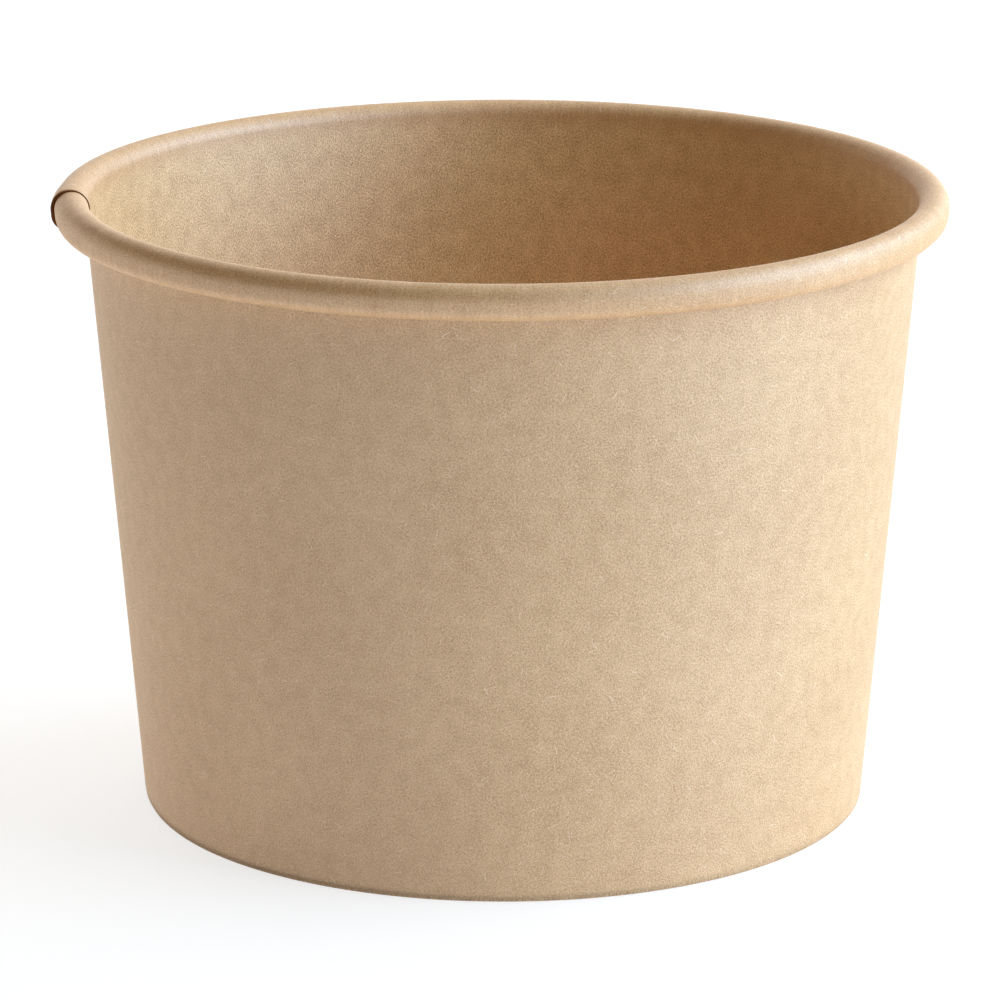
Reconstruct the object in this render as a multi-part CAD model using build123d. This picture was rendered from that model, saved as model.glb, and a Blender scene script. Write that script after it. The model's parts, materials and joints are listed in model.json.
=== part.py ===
from build123d import *
import math
import os
from collections import namedtuple

# Driving dimensions of the cup, in millimetres and degrees
rim_diameter = 90.0  # outside of the rolled rim
foot_diameter = 74.0  # outside of the wall at the table
height = 63.6  # table to the top of the rolled rim
board = 0.4  # thickness of the paper board

# Rolled rim
roll_width = 3.1  # wall's food side to the roll's outside
roll_drop = 0.6  # straight run down the roll's outside
roll_gap = 0.1  # air between the tucked edge and the wall
tuck_turn = 40.0  # turn of the tucked edge past the wall's direction

# Glued side seam, where one end of the wall's blank lies over the other
seam_angle = 185.0  # the inner end's cut edge, counter-clockwise from +X
lap_width = 7.0  # overlap around the rim
lap_thickness = 0.6  # the two ends, pressed together as they are glued
lap_blend = 8.0  # length around the rim in which the board steps over the lap
blend_sections = 5  # sections that shape each step

# Foot, where the wall is folded in and up around the base's skirt
hem_height = 5.5  # table to the hem's free edge
hem_headroom = 1.5  # hem's free edge to the underside of the base
fold_radius = 0.05  # inside of the fold
glue_gap = 0.05  # glue and air on each side of the skirt
base_bend = 0.5  # inside of the bend from the base down into its skirt

# The board's path in section: straight runs, and turns that are positive to the left
Run = namedtuple("Run", "length")
Turn = namedtuple("Turn", "radius angle")
Path = namedtuple("Path", "start heading moves")

rim_radius = rim_diameter / 2
foot_radius = foot_diameter / 2
roll_radius = roll_width / 2
base_underside = hem_height + hem_headroom
lap_layer = lap_thickness / 2
lap_growth = lap_thickness - board

# The wall's slope: its outside runs from the foot into the inside of the roll
foot_corner = Vector(foot_radius, 0)
roll_centre = Vector(rim_radius - roll_radius, height - roll_radius)
foot_to_roll = roll_centre - foot_corner
wall_lean = math.asin((roll_radius - board) / foot_to_roll.length)
wall_slope = math.degrees(math.atan2(foot_to_roll.Y, foot_to_roll.X) + wall_lean)
lower_bend = 180 - wall_slope


def direction(angle):
    return Vector(math.cos(math.radians(angle)), math.sin(math.radians(angle)))


along_wall = direction(wall_slope)
out_of_wall = direction(wall_slope - 90)


def point_behind_wall(depth, level):
    """The point at a level on a line parallel to the wall, a depth in from its outside."""
    line_start = foot_corner - out_of_wall * depth
    return line_start + along_wall * ((level - line_start.Y) / along_wall.Y)


def bend_length(radius, angle):
    """Length that a bend takes from the straight on each side of it."""
    return radius * math.tan(math.radians(angle / 2))


def trace(path, offset):
    """One face of the board: the path moved to its right by the offset."""
    heading = path.heading
    point = path.start + direction(heading - 90) * offset
    edges = []
    for move in path.moves:
        if isinstance(move, Run):
            edge = PolarLine(point, move.length, heading)
        else:
            radius = move.radius + math.copysign(offset, move.angle)
            edge = JernArc(point, direction(heading), radius, move.angle)
            heading += move.angle
        edges.append(edge)
        point = edge @ 1
    return edges


def board_section(path, offset, thickness):
    """A section of the board, from the offset to one thickness further right."""
    near_face = trace(path, offset)
    far_face = trace(path, offset + thickness)
    first_edge = Line(near_face[0] @ 0, far_face[0] @ 0)
    last_edge = Line(near_face[-1] @ 1, far_face[-1] @ 1)
    return make_face([first_edge, *near_face, last_edge, *far_face])


def at_angle(section, angle):
    """Stand a section, drawn as radius and height, upright at an angle about the cup's axis."""
    return (Plane.XZ * section).rotate(Axis.Z, angle)


def wall_path(lift, trim):
    """The wall's food side, from the hem's free edge through the fold and up into the roll.

    Lift is 0 for one thickness of board and 1 in the lap, where the fold and the roll leave
    room for a second thickness. Trim is 0 where the roll's edge is tucked in, and 1 where it
    is cut off at the roll's underside.
    """
    channel = board + 2 * glue_gap
    fold_level = board + lift * lap_growth
    wall_foot = point_behind_wall(board, fold_level)
    hem_foot = point_behind_wall(board + channel, fold_level)
    hem_top = point_behind_wall(board + channel, hem_height)
    roll_start = roll_centre - out_of_wall * roll_radius
    hem_bend = bend_length(fold_radius, lower_bend)
    wall_bend = bend_length(fold_radius, wall_slope)
    upper_curl = roll_radius + lift * lap_growth / 2
    lower_curl = upper_curl - (board + roll_gap) / 2
    lower_turn = 180 + tuck_turn - trim * (90 + tuck_turn)
    moves = [
        Run((hem_top - hem_foot).length - hem_bend),
        Turn(fold_radius, lower_bend),
        Run((wall_foot - hem_foot).length - hem_bend - wall_bend),
        Turn(fold_radius, wall_slope),
        Run((roll_start - wall_foot).length - wall_bend),
        Turn(upper_curl, -180),
        Run(roll_drop),
        Turn(lower_curl, -lower_turn),
    ]
    return Path(hem_top, wall_slope - 180, moves)


def step_into_lap(start_angle, end_angle, offset, trim):
    """The stretch in which the single wall reaches its offset and trim at the lap's end."""
    sections = []
    for number in range(blend_sections):
        share = number / (blend_sections - 1)
        eased = share * share * (3 - 2 * share)
        thickness = board + (lap_layer - board) * eased
        section = board_section(wall_path(eased, trim * eased), offset * eased, thickness)
        sections.append(at_angle(section, start_angle + (end_angle - start_angle) * share))
    return loft(sections)


def make_side_wall():
    """The wall's blank, rolled up and glued: hem, fold, wall, lapped seam and rolled rim."""
    lap_angle = math.degrees(lap_width / rim_radius)
    blend_angle = math.degrees(lap_blend / rim_radius)
    lap_start = seam_angle - lap_angle
    back_start = lap_start - blend_angle
    front_end = seam_angle + blend_angle

    single = board_section(wall_path(0, 0), 0, board)
    inner_end = board_section(wall_path(1, 1), 0, lap_layer)
    outer_end = board_section(wall_path(1, 0), lap_layer, lap_layer)

    around = revolve(at_angle(single, front_end), Axis.Z, 360 + back_start - front_end)
    inner_lap = revolve(at_angle(inner_end, lap_start), Axis.Z, lap_angle)
    outer_lap = revolve(at_angle(outer_end, lap_start), Axis.Z, lap_angle)
    back_step = step_into_lap(back_start, lap_start, 0, 1)
    front_step = step_into_lap(front_end, seam_angle, lap_layer, 0)
    return around + inner_lap + outer_lap + back_step + front_step


def make_base_disc():
    """The base's blank: a flat disc with its edge turned down as a skirt inside the hem."""
    depth = 2 * board + glue_gap
    skirt_level = max(board, lap_thickness) + glue_gap - board * out_of_wall.Y
    skirt_foot = point_behind_wall(depth, skirt_level)
    skirt_top = point_behind_wall(depth, base_underside)
    bend = bend_length(base_bend, lower_bend)
    moves = [
        Run((skirt_top - skirt_foot).length - bend),
        Turn(base_bend, lower_bend),
        Run(skirt_top.X - bend),
    ]
    section = board_section(Path(skirt_foot, wall_slope, moves), 0, board)
    return revolve(at_angle(section, seam_angle), Axis.Z)


os.makedirs("parts", exist_ok=True)
export_step(make_side_wall(), "parts/side_wall.step")
export_step(make_base_disc(), "parts/base_disc.step")
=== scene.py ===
import json
import math

import bmesh
import bpy
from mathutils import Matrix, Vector


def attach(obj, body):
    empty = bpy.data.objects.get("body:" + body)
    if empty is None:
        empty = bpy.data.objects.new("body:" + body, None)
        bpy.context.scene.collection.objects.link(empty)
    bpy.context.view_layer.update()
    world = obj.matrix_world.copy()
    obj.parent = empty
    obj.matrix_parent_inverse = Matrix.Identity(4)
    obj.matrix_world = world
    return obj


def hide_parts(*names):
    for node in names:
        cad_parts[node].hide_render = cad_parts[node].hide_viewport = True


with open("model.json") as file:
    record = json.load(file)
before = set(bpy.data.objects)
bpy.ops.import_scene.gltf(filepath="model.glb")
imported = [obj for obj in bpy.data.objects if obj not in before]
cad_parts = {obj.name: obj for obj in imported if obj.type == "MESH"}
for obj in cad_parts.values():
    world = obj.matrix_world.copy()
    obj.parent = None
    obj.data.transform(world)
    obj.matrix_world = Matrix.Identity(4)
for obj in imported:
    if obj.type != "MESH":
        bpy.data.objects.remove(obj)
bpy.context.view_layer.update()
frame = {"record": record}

# Sizes in metres, as the solids have them
MM = 0.001
mounts = {mount["name"]: mount for mount in frame["record"]["mounts"]}
RIM_RADIUS = mounts["rim"]["dims"]["r_mm"] * MM
HEIGHT = mounts["rim"]["pos_m"][2]
FOOT_RADIUS = 37.0 * MM
BOARD = 0.4 * MM
ROLL_RADIUS = 1.55 * MM
ROLL_DROP = 0.6 * MM
ROLL_GAP = 0.1 * MM
TUCK_TURN = math.radians(40)
HEM_HEIGHT = 5.5 * MM
BASE_UNDERSIDE = 7 * MM
FOLD_RADIUS = 0.05 * MM
GLUE_GAP = 0.05 * MM
BASE_BEND = 0.5 * MM

# Side seam: the blank's inner end is pressed thin at its cut edge, and springs off the roll's outside
SEAM_ANGLE = math.radians(185)
LAP_ANGLE = 7 * MM / RIM_RADIUS
BLEND_ANGLE = 8 * MM / RIM_RADIUS
PRESSED_EDGE = 0.12 * MM
SPRUNG_EDGE = 0.38 * MM
FULL_TURN = 2 * math.pi

# Rolled rim: it swells where two boards are rolled together, and is a little out of round elsewhere
ROLL_SWELL = 0.19 * MM
SWELL_ANGLE = math.radians(34)
OUT_OF_ROUND = 0.28 * MM

# Paper colours in linear light: the dark and light tones of each face, the fibres and the cut edge
OUTSIDE_KRAFT = ((0.36, 0.15, 0.0), (0.74, 0.46, 0.205))
LINED_KRAFT = ((0.40, 0.16, 0.0), (0.97, 0.665, 0.31))
# The roll's tones are darker and more saturated than the lining's, which is in part painted shade on the
# roll
ROLLED_KRAFT_AND_SHADE = ((0.42, 0.16, 0.0), (0.76, 0.445, 0.175))
PALE_FIBRE = (0.92, 0.75, 0.52)
DARK_SPECK = (0.20, 0.09, 0.02)
CUT_KRAFT = ((0.10, 0.03, 0.006), (0.25, 0.085, 0.02))

# Felted grain: fibre sizes in millimetres on the flat sheet, and their directions in degrees
FIBRE_LAYS = (20, 65, 105, 150)
GRAIN_LENGTH = 0.22
GRAIN_WIDTH = 0.09
GRAIN_CONTRAST = 3.0
GRAIN_DEPTH = 0.04 * MM
LINED_SHIFT = (211, 97, 0)  # the food side shows another part of the sheet than the outside

# Soft patches in the pulp: size in millimetres, detail and strength
CLOUDS = (1.8, 4, 0.50)
DRIFT = (17, 1, 0.24)

# Single fibres: spacing, length and width in millimetres, and strength
FINE_FIBRES = (1.3, 0.4, 0.05, 0.40)
LONG_FIBRES = (5.0, 0.65, 0.06, 0.65)
DARK_SPECKS = (5.3, 0.16, 0.07, 0.55)
FIBRE_BOW = 0.3
SHORTEST_FIBRE = 0.4
FAINTEST_FIBRE = 0.3
FULL_LENGTH = 0.6  # share of a fibre's reach before its end fades
FULL_WIDTH = 0.3  # share of a fibre's width before its side fades

# Lining stretched over the roll, with streaks and darker tones that are in part painted shade: where it
# begins and is complete, in millimetres from the roll's start
STRETCH_BEGINS = -2
STRETCH_COMPLETE = 0.5
STREAK_LENGTH = 2.4
STREAK_WIDTH = 0.22
STREAK_SHARE = 0.1

# Shine of the paper and of its cut edge, and the layers in the edge
PAPER_IOR = 1.9
PAPER_SHINE = 1.0
OUTSIDE_ROUGHNESS = 0.65
LINED_ROUGHNESS = 0.62
EDGE_SHINE = 0.1
EDGE_ROUGHNESS = 0.9
EDGE_LAYERS = 0.25 * MM
EDGE_DEPTH = 0.03 * MM

# How finely the board is divided: columns around the cup, rows along each run and bend
WALL_COLUMNS = 320
HEM_ROWS = 4
FOLD_ROWS = 5
CHANNEL_ROWS = 2
WALL_ROWS = 30
CURL_ROWS = 22
DROP_ROWS = 3
BASE_COLUMNS = 192
SKIRT_ROWS = 6
BEND_ROWS = 6
DISC_ROWS = 24

# Studio: the floor's white for the light that it throws back and as it is seen, and the dim room
FLOOR_REACH = 20
FLOOR_LIGHTING = (0.9, 0.9, 0.9)
FLOOR_SEEN = (0.35, 0.35, 0.35)
FLOOR_GLOW = 0.75
ROOM_LIGHT = 0.03

# Lamps: name, place and size in metres, power in watts and tint
COOL_WHITE = (0.79, 1.0, 1.24)
NEUTRAL_WHITE = (1.0, 1.0, 1.0)
WARM_WHITE = (1.15, 1.01, 0.78)
LAMP_AIM = Vector((0, 0, 35 * MM))
SOFTBOXES = (
    ("right_softbox", (0.69, -0.19, 0.33), (0.65, 0.75), 6.9, COOL_WHITE),
    ("right_back_softbox", (0.60, 0.30, 0.45), (0.40, 0.40), 2.9, COOL_WHITE),
    ("back_softbox", (0, 0.65, 0.65), (0.90, 0.40), 2.2, NEUTRAL_WHITE),
    ("low_back_softbox", (0, 0.90, 0.17), (1.60, 0.30), 4.6, NEUTRAL_WHITE),
    ("low_left_softbox", (-0.70, 0.30, 0.12), (0.50, 0.20), 0.7, WARM_WHITE),
    ("top_softbox", (0, 0, 0.90), (0.50, 0.50), 1.6, WARM_WHITE),
)
LIGHT_TABLE = ("light_table", (0, 0, 0.5 * MM), (0.50, 0.50), 0.27, NEUTRAL_WHITE)

# Camera, worked out from the outline in the photograph
CAMERA_TARGET = Vector((0, 0, 31.7 * MM))
CAMERA_DISTANCE = 577.6 * MM
CAMERA_ELEVATION = math.radians(15.4)
CAMERA_LENS = 202.7
CAMERA_SENSOR = 36.0
CAMERA_SHIFT = (-0.0039, -0.0105)


# The board's path in section


def heading_vector(angle):
    return Vector((math.cos(angle), math.sin(angle)))


foot_corner = Vector((FOOT_RADIUS, 0))
roll_centre = Vector((RIM_RADIUS - ROLL_RADIUS, HEIGHT - ROLL_RADIUS))
foot_to_roll = roll_centre - foot_corner
wall_slope = math.atan2(foot_to_roll.y, foot_to_roll.x)
wall_slope += math.asin((ROLL_RADIUS - BOARD) / foot_to_roll.length)
lower_bend = math.pi - wall_slope
along_wall = heading_vector(wall_slope)
out_of_wall = heading_vector(wall_slope - math.pi / 2)


def point_behind_wall(depth, level):
    """The point at a level on a line parallel to the wall, a depth in from its outside."""
    line_start = foot_corner - out_of_wall * depth
    return line_start + along_wall * ((level - line_start.y) / along_wall.y)


def bend_length(radius, angle):
    """Length that a bend takes from the straight on each side of it."""
    return radius * math.tan(angle / 2)


def walk(start, heading, moves):
    """Stations along one face of the board, each a point and the direction to its right.

    A move is (rows, length) for a straight run, or (rows, radius, angle) for a bend that
    turns left where the angle is positive.
    """
    point = start
    stations = [(point, heading_vector(heading - math.pi / 2))]
    for move in moves:
        rows = move[0]
        if len(move) == 2:
            step = heading_vector(heading) * (move[1] / rows)
            for _ in range(rows):
                point = point + step
                stations.append((point, heading_vector(heading - math.pi / 2)))
            continue
        radius, angle = move[1:]
        side = math.copysign(math.pi / 2, angle)
        centre = point + heading_vector(heading + side) * radius
        for row in range(1, rows + 1):
            turned = heading + angle * row / rows
            point = centre - heading_vector(turned + side) * radius
            stations.append((point, heading_vector(turned - math.pi / 2)))
        heading += angle
    return stations


FOOT_ROWS = HEM_ROWS + 2 * FOLD_ROWS + CHANNEL_ROWS
ROLL_ROWS = 2 * CURL_ROWS + DROP_ROWS


def wall_section(lift, trim, swell):
    """The wall's food side from the hem's free edge, through the fold and the wall, into the roll.

    Lift raises the fold off the table. Trim is 1 where the roll's edge is cut off at its underside.
    Swell is added to the roll's radius.
    """
    channel = BOARD + 2 * GLUE_GAP
    fold_level = BOARD + lift
    wall_foot = point_behind_wall(BOARD, fold_level)
    hem_foot = point_behind_wall(BOARD + channel, fold_level)
    hem_top = point_behind_wall(BOARD + channel, HEM_HEIGHT)
    roll_start = roll_centre - out_of_wall * ROLL_RADIUS
    hem_bend = bend_length(FOLD_RADIUS, lower_bend)
    wall_bend = bend_length(FOLD_RADIUS, wall_slope)
    upper_curl = ROLL_RADIUS + swell
    lower_curl = upper_curl - (BOARD + ROLL_GAP) / 2
    lower_turn = math.pi + TUCK_TURN - trim * (math.pi / 2 + TUCK_TURN)
    moves = [
        (HEM_ROWS, (hem_top - hem_foot).length - hem_bend),
        (FOLD_ROWS, FOLD_RADIUS, lower_bend),
        (CHANNEL_ROWS, (wall_foot - hem_foot).length - hem_bend - wall_bend),
        (FOLD_ROWS, FOLD_RADIUS, wall_slope),
        (WALL_ROWS, (roll_start - wall_foot).length - wall_bend),
        (CURL_ROWS, upper_curl, -math.pi),
        (DROP_ROWS, ROLL_DROP),
        (CURL_ROWS, lower_curl, -lower_turn),
    ]
    return walk(hem_top, wall_slope - math.pi, moves)


def base_section():
    """The food side of the base, from the skirt's lower edge up and in to the axis."""
    depth = BOARD + GLUE_GAP
    skirt_level = 2 * BOARD + GLUE_GAP
    skirt_foot = point_behind_wall(depth, skirt_level)
    skirt_top = point_behind_wall(depth, BASE_UNDERSIDE + BOARD)
    bend = bend_length(BASE_BEND + BOARD, lower_bend)
    moves = [
        (SKIRT_ROWS, (skirt_top - skirt_foot).length - bend),
        (BEND_ROWS, BASE_BEND + BOARD, lower_bend),
        (DISC_ROWS, skirt_top.x - bend),
    ]
    return walk(skirt_foot, wall_slope, moves)


# Pieces


def finish_piece(name, bm, materials):
    mesh = bpy.data.meshes.new(name)
    bm.to_mesh(mesh)
    bm.free()
    for polygon in mesh.polygons:
        polygon.use_smooth = True
    for material in materials:
        mesh.materials.append(material)
    piece = bpy.data.objects.new(name, mesh)
    bpy.context.scene.collection.objects.link(piece)
    return piece


def add_thickness(piece):
    """Give the sheet its board thickness, with its own finish on the far side and the cut edges."""
    board = piece.modifiers.new("board", "SOLIDIFY")
    board.thickness = BOARD
    board.offset = -1
    board.use_even_offset = True
    board.material_offset = 1
    board.material_offset_rim = 2
    return board


def limited(share):
    return min(max(share, 0), 1)


def eased(share):
    share = limited(share)
    return share * share * (3 - 2 * share)


def lapped_wall(turned):
    """One column of the wall: the place, thickness and length along the blank of each row.

    The inner end of the blank begins at the seam. After a full turn the outer end passes behind it,
    one board further out by the lap's end.
    """
    inner_share = limited(turned / LAP_ANGLE)
    outer_share = limited((turned - FULL_TURN) / LAP_ANGLE)
    back = 1 - eased((turned - LAP_ANGLE) / BLEND_ANGLE)
    front = eased((turned - FULL_TURN + BLEND_ANGLE) / BLEND_ANGLE)
    inner_lift = PRESSED_EDGE + (BOARD - PRESSED_EDGE) * inner_share
    outer_lift = PRESSED_EDGE + (BOARD - PRESSED_EDGE) * outer_share
    from_lap = math.remainder(turned - LAP_ANGLE, FULL_TURN)
    swell = ROLL_SWELL * math.exp(-((from_lap / SWELL_ANGLE) ** 2))
    angle = SEAM_ANGLE - turned
    wave = OUT_OF_ROUND * math.sin(2 * angle) * (1 + math.cos(angle)) / 2
    section = wall_section(back * inner_lift + front * outer_lift, back, swell)

    rows = []
    length = 0
    previous = section[0][0]
    for row, (point, right) in enumerate(section):
        length += (point - previous).length
        previous = point
        sunk = limited((row - FOOT_ROWS) / WALL_ROWS)
        edge = PRESSED_EDGE
        if row > FOOT_ROWS + WALL_ROWS:
            edge += (SPRUNG_EDGE - PRESSED_EDGE) * ((1 - right.x) / 2) ** 2
        inside = edge * sunk * (1 - inner_share)
        behind = edge + (BOARD - edge) * outer_share - edge * sunk * (1 - outer_share)
        place = point + right * (front * behind - inside) + Vector((wave * sunk ** 2, 0))
        rows.append((place, edge + (BOARD - edge) * inner_share, length))
    return rows


ROLL_STARTS = lapped_wall(math.pi)[FOOT_ROWS + WALL_ROWS][2]


def make_side_wall(materials):
    """The wall's flat blank, rolled up so that its outer end passes behind the inner end."""
    whole_angle = FULL_TURN + LAP_ANGLE
    row_count = FOOT_ROWS + WALL_ROWS + ROLL_ROWS
    bm = bmesh.new()
    bmesh.ops.create_grid(bm, x_segments=WALL_COLUMNS, y_segments=row_count, size=1)
    weights = bm.verts.layers.deform.verify()
    columns = {}
    for vertex in bm.verts:
        column = round((vertex.co.x + 1) / 2 * WALL_COLUMNS)
        columns.setdefault(column, []).append(vertex)

    flat = {}
    wrapped = {}
    for column, vertices in columns.items():
        turned = whole_angle * column / WALL_COLUMNS
        angle = SEAM_ANGLE - turned
        fan_angle = (turned - math.pi) * along_wall.x
        rows = lapped_wall(turned)
        for vertex in vertices:
            place, thickness, length = rows[round((vertex.co.y + 1) / 2 * row_count)]
            slant = FOOT_RADIUS / along_wall.x + length
            flat[vertex] = (slant * math.sin(fan_angle), slant * math.cos(fan_angle) - slant + length)
            wrapped[vertex] = (turned * RIM_RADIUS, length)
            vertex.co = (place.x * math.cos(angle), place.x * math.sin(angle), place.y)
            vertex[weights][0] = thickness / BOARD
    for name, places in (("blank", flat), ("wrap", wrapped)):
        layer = bm.loops.layers.uv.new(name)
        for face in bm.faces:
            for loop in face.loops:
                loop[layer].uv = places[loop.vert]

    piece = finish_piece("cup_wall", bm, materials)
    group = piece.vertex_groups.new(name="board")
    board = add_thickness(piece)
    board.vertex_group = group.name
    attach(piece, "root")
    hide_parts("side_wall")


def make_base(materials):
    """The base's blank: a disc with its edge turned down as a skirt."""
    bm = bmesh.new()
    previous = None
    for (radius, level), _ in base_section()[:-1]:
        vertex = bm.verts.new((radius, 0, level))
        if previous:
            bm.edges.new((previous, vertex))
        previous = vertex
    bmesh.ops.spin(
        bm,
        geom=bm.verts[:] + bm.edges[:],
        cent=(0, 0, 0),
        axis=(0, 0, 1),
        angle=FULL_TURN,
        steps=BASE_COLUMNS,
        use_merge=True,
    )
    inner_rim = [edge for edge in bm.edges if edge.is_boundary and edge.verts[0].co.z > BASE_UNDERSIDE]
    bmesh.ops.holes_fill(bm, edges=inner_rim)
    bmesh.ops.recalc_face_normals(bm, faces=bm.faces[:])
    for name in ("blank", "wrap"):
        layer = bm.loops.layers.uv.new(name)
        for face in bm.faces:
            for loop in face.loops:
                loop[layer].uv = loop.vert.co.xy
    piece = finish_piece("cup_base", bm, materials)
    add_thickness(piece)
    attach(piece, "root")
    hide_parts("base_disc")


# Materials


def add(tree, kind, inputs, **settings):
    """A node whose inputs are given as plain values or as the sockets that feed them."""
    node = tree.nodes.new("ShaderNode" + kind)
    for name, value in settings.items():
        setattr(node, name, value)
    for socket, value in inputs.items():
        if isinstance(value, bpy.types.NodeSocket):
            tree.links.new(value, node.inputs[socket])
        else:
            node.inputs[socket].default_value = value
    return node


def calculate(tree, operation, *values):
    return add(tree, "Math", dict(enumerate(values)), operation=operation).outputs[0]


def rise(tree, value, low, high):
    """0 below low, 1 above high, and smooth between them."""
    inputs = {"Value": value, "From Min": low, "From Max": high}
    return add(tree, "MapRange", inputs, interpolation_type="SMOOTHSTEP").outputs["Result"]


def tint(tree, factor, first, second):
    """A colour that goes from the first to the second as the factor goes from 0 to 1."""
    node = add(tree, "Mix", {"Factor": factor}, data_type="RGBA")
    for socket, color in ((node.inputs[6], first), (node.inputs[7], second)):
        if isinstance(color, bpy.types.NodeSocket):
            tree.links.new(color, socket)
        else:
            socket.default_value = (*color, 1)
    return node.outputs[2]


def sheet_places(tree, uv_map, shift=(0, 0, 0)):
    """Places on the flat sheet, in millimetres."""
    places = add(tree, "UVMap", {}, uv_map=uv_map).outputs["UV"]
    inputs = {0: places, 1: (1 / MM, 1 / MM, 1 / MM), 2: shift}
    return add(tree, "VectorMath", inputs, operation="MULTIPLY_ADD").outputs["Vector"]


def cloud(tree, places, size, detail):
    inputs = {"Vector": places, "Scale": 1 / size, "Detail": detail}
    return add(tree, "TexNoise", inputs, noise_dimensions="2D").outputs["Fac"]


def patches(tree, places, size, detail, strength):
    """Soft patches of the sheet, as a value about 0."""
    return calculate(tree, "MULTIPLY_ADD", cloud(tree, places, size, detail), strength, -strength / 2)


def drawn_out(tree, places, angle, length, width):
    """Noise drawn out along one direction of the sheet."""
    inputs = {"Vector": places, "Rotation": (0, 0, angle), "Scale": (length, width, 1)}
    drawn = add(tree, "Mapping", inputs, vector_type="TEXTURE").outputs["Vector"]
    return cloud(tree, drawn, 1, 0)


def felted_grain(tree, places):
    """Short pulp fibres lying in several directions, as a value about 0.5."""
    total = 0.0
    for degrees in FIBRE_LAYS:
        layer = drawn_out(tree, places, math.radians(degrees), GRAIN_LENGTH, GRAIN_WIDTH)
        total = calculate(tree, "MULTIPLY_ADD", layer, 1 / len(FIBRE_LAYS), total)
    return total


def strokes(tree, places, spacing, length, width, strength):
    """Single fibres, one in each cell of the sheet, each with its own direction, length and bow."""
    cells = add(tree, "TexVoronoi", {"Vector": places, "Scale": 1 / spacing}, voronoi_dimensions="2D")
    away = add(tree, "VectorMath", {0: places, 1: cells.outputs["Position"]}, operation="SUBTRACT")
    chance = add(tree, "SeparateColor", {"Color": cells.outputs["Color"]}).outputs
    turn = calculate(tree, "MULTIPLY", chance["Red"], FULL_TURN)
    inputs = {"Vector": away.outputs["Vector"], "Angle": turn}
    turned = add(tree, "VectorRotate", inputs, rotation_type="Z_AXIS").outputs["Vector"]
    parts = add(tree, "SeparateXYZ", {"Vector": turned}).outputs
    along = calculate(tree, "ABSOLUTE", parts["X"])
    bow = calculate(tree, "MULTIPLY_ADD", chance["Blue"], 2 * FIBRE_BOW, -FIBRE_BOW)
    bowed = calculate(tree, "MULTIPLY", calculate(tree, "MULTIPLY", along, along), bow)
    across = calculate(tree, "ABSOLUTE", calculate(tree, "ADD", parts["Y"], bowed))
    shortest = SHORTEST_FIBRE * length
    reach = calculate(tree, "MULTIPLY_ADD", chance["Green"], length - shortest, shortest)
    within = calculate(tree, "DIVIDE", along, reach)
    long_enough = calculate(tree, "SUBTRACT", 1, rise(tree, within, FULL_LENGTH, 1))
    thin_enough = calculate(tree, "SUBTRACT", 1, rise(tree, across, FULL_WIDTH * width, width))
    shape = calculate(tree, "MULTIPLY", long_enough, thin_enough)
    own_strength = calculate(tree, "MULTIPLY_ADD", chance["Blue"], 1 - FAINTEST_FIBRE, FAINTEST_FIBRE)
    return calculate(tree, "MULTIPLY", calculate(tree, "MULTIPLY", shape, own_strength), strength)


def new_paper(name):
    material = bpy.data.materials.new(name)
    material.use_nodes = True
    shader = material.node_tree.nodes["Principled BSDF"]
    shader.inputs["IOR"].default_value = PAPER_IOR
    shader.inputs["Specular IOR Level"].default_value = PAPER_SHINE
    return material, material.node_tree, shader


def raise_grain(tree, shader, height, depth):
    """Relief of the sheet's face, where a height of 1 stands a depth in metres above 0."""
    bump = add(tree, "Bump", {"Height": height, "Distance": depth, "Strength": 1.0})
    tree.links.new(bump.outputs["Normal"], shader.inputs["Normal"])


def kraft_colour(tree, places, grain, tones):
    """Brown pulp: felted grain, soft clouds, pale single fibres and a few dark specks."""
    clouds = calculate(tree, "ADD", patches(tree, places, *CLOUDS), patches(tree, places, *DRIFT))
    tone = calculate(tree, "MULTIPLY_ADD", calculate(tree, "SUBTRACT", grain, 0.5), GRAIN_CONTRAST, 0.5)
    tone = calculate(tree, "ADD", tone, clouds)
    color = tint(tree, calculate(tree, "MAXIMUM", calculate(tree, "MINIMUM", tone, 1), 0), *tones)
    color = tint(tree, strokes(tree, places, *FINE_FIBRES), color, PALE_FIBRE)
    color = tint(tree, strokes(tree, places, *LONG_FIBRES), color, PALE_FIBRE)
    return tint(tree, strokes(tree, places, *DARK_SPECKS), color, DARK_SPECK)


def kraft_outside():
    """Uncoated face of the board, matt with a faint fuzz of fibres."""
    material, tree, shader = new_paper("kraft_outside")
    places = sheet_places(tree, "blank")
    grain = felted_grain(tree, places)
    color = kraft_colour(tree, places, grain, OUTSIDE_KRAFT)
    tree.links.new(color, shader.inputs["Base Color"])
    shader.inputs["Roughness"].default_value = OUTSIDE_ROUGHNESS
    raise_grain(tree, shader, grain, GRAIN_DEPTH)
    return material


def lined_food_side():
    """Food side of the board, under a thin satin lining that is stretched across the rolled rim."""
    material, tree, shader = new_paper("lined_food_side")
    places = sheet_places(tree, "blank", LINED_SHIFT)
    grain = felted_grain(tree, places)
    wrap = sheet_places(tree, "wrap")
    along = add(tree, "SeparateXYZ", {"Vector": wrap}).outputs["Y"]
    roll_starts = ROLL_STARTS / MM
    rolled = rise(tree, along, roll_starts + STRETCH_BEGINS, roll_starts + STRETCH_COMPLETE)
    streaks = drawn_out(tree, wrap, math.pi / 2, STREAK_LENGTH, STREAK_WIDTH)
    share = calculate(tree, "MULTIPLY", rolled, STREAK_SHARE)
    grain = add(tree, "Mix", {"Factor": share, "A": grain, "B": streaks}).outputs["Result"]
    # Over the roll the tones go darker and more saturated, in part as painted shade
    tones = [tint(tree, rolled, *pair) for pair in zip(LINED_KRAFT, ROLLED_KRAFT_AND_SHADE)]
    color = kraft_colour(tree, places, grain, tones)
    tree.links.new(color, shader.inputs["Base Color"])
    shader.inputs["Roughness"].default_value = LINED_ROUGHNESS
    raise_grain(tree, shader, grain, GRAIN_DEPTH)
    return material


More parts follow.
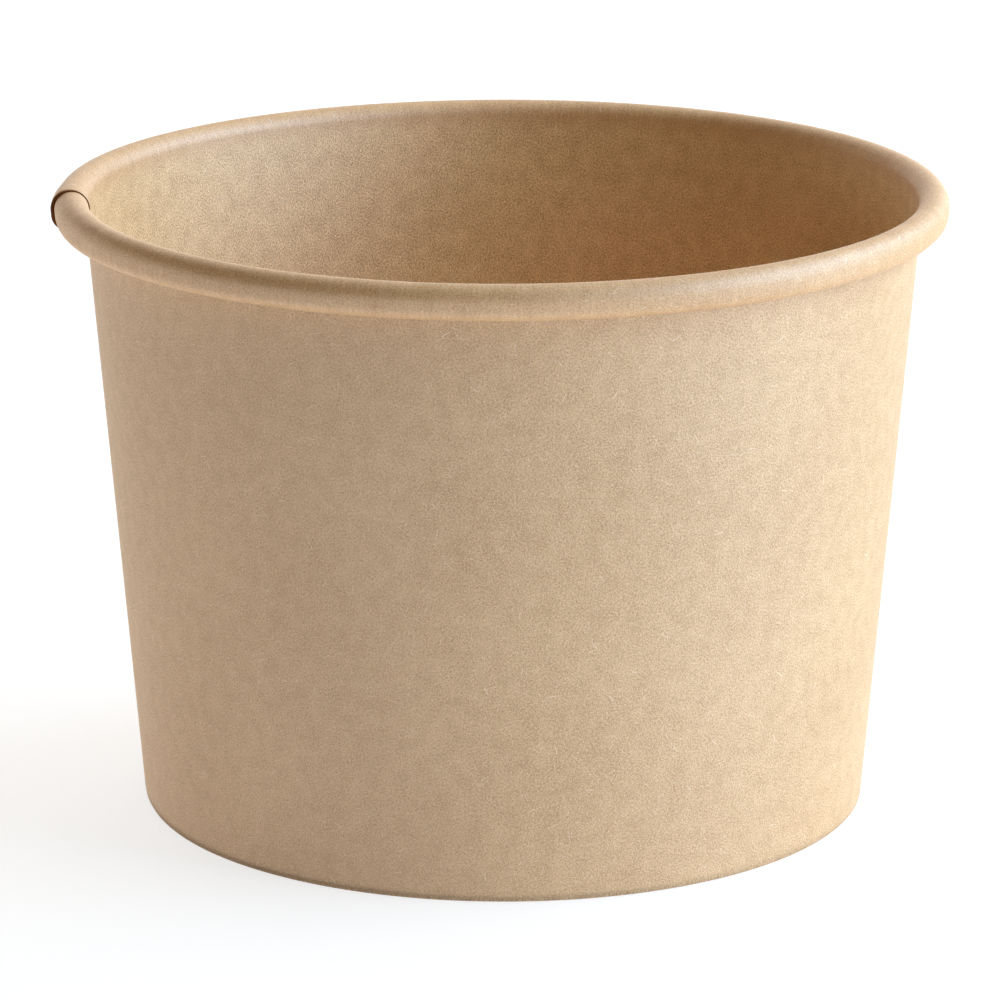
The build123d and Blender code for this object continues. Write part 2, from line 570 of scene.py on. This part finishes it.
def cut_edge():
    """Raw edge of the board, with its layers of pulp showing as fine dark lines."""
    material, tree, shader = new_paper("cut_edge")
    places = add(tree, "TexCoord", {}).outputs["Object"]
    inputs = {"Vector": places, "Scale": 1 / EDGE_LAYERS, "Detail": 2}
    layers = add(tree, "TexNoise", inputs).outputs["Fac"]
    tree.links.new(tint(tree, layers, *CUT_KRAFT), shader.inputs["Base Color"])
    shader.inputs["Roughness"].default_value = EDGE_ROUGHNESS
    shader.inputs["Specular IOR Level"].default_value = EDGE_SHINE
    raise_grain(tree, shader, layers, EDGE_DEPTH)
    return material


def seen_directly(tree):
    """1 for the rays that show a surface to the camera or in a reflection, and 0 for those that light."""
    rays = add(tree, "LightPath", {}).outputs
    seen = calculate(tree, "MAXIMUM", rays["Is Camera Ray"], rays["Is Glossy Ray"])
    return calculate(tree, "MAXIMUM", seen, rays["Is Transmission Ray"])


def white_floor():
    """White floor that keeps the cup's shadow."""
    material = bpy.data.materials.new("white_floor")
    material.use_nodes = True
    tree = material.node_tree
    shader = tree.nodes["Principled BSDF"]
    seen = seen_directly(tree)
    tree.links.new(tint(tree, seen, FLOOR_LIGHTING, FLOOR_SEEN), shader.inputs["Base Color"])
    shader.inputs["Specular IOR Level"].default_value = 0
    shader.inputs["Emission Color"].default_value = (1, 1, 1, 1)
    tree.links.new(calculate(tree, "MULTIPLY", seen, FLOOR_GLOW), shader.inputs["Emission Strength"])
    return material


def dim_room():
    """Dim even light from all round."""
    world = bpy.data.worlds.new("studio")
    world.use_nodes = True
    background = world.node_tree.nodes["Background"]
    background.inputs["Color"].default_value = (1, 1, 1, 1)
    background.inputs["Strength"].default_value = ROOM_LIGHT
    bpy.context.scene.world = world


# Scene


def make_camera():
    data = bpy.data.cameras.new("camera")
    data.lens = CAMERA_LENS
    data.sensor_width = CAMERA_SENSOR
    data.shift_x, data.shift_y = CAMERA_SHIFT
    data.clip_start = 0.01
    data.clip_end = 20
    camera = bpy.data.objects.new("camera", data)
    back = Vector((0, -math.cos(CAMERA_ELEVATION), math.sin(CAMERA_ELEVATION)))
    camera.location = CAMERA_TARGET + back * CAMERA_DISTANCE
    camera.rotation_euler = back.to_track_quat("Z", "Y").to_euler()
    bpy.context.scene.collection.objects.link(camera)
    bpy.context.scene.camera = camera


def make_softbox(name, place, size, power, color):
    """A soft rectangular lamp that faces the cup."""
    data = bpy.data.lights.new(name, "AREA")
    data.shape = "RECTANGLE"
    data.size, data.size_y = size
    data.energy = power
    data.color = color
    lamp = bpy.data.objects.new(name, data)
    lamp.location = place
    lamp.rotation_euler = (Vector(place) - LAMP_AIM).to_track_quat("Z", "Y").to_euler()
    bpy.context.scene.collection.objects.link(lamp)
    return lamp


def make_light_table():
    """Even light from the table up onto the outside of the cup."""
    lamp = make_softbox(*LIGHT_TABLE)
    lamp.rotation_euler = (math.pi, 0, 0)


def make_floor():
    bm = bmesh.new()
    bmesh.ops.create_grid(bm, x_segments=1, y_segments=1, size=FLOOR_REACH)
    finish_piece("floor", bm, [white_floor()])


paper = [lined_food_side(), kraft_outside(), cut_edge()]
make_side_wall(paper)
make_base(paper)
make_floor()
make_camera()
for softbox in SOFTBOXES:
    make_softbox(*softbox)
make_light_table()
dim_room()
bpy.context.scene.view_settings.view_transform = "Standard"
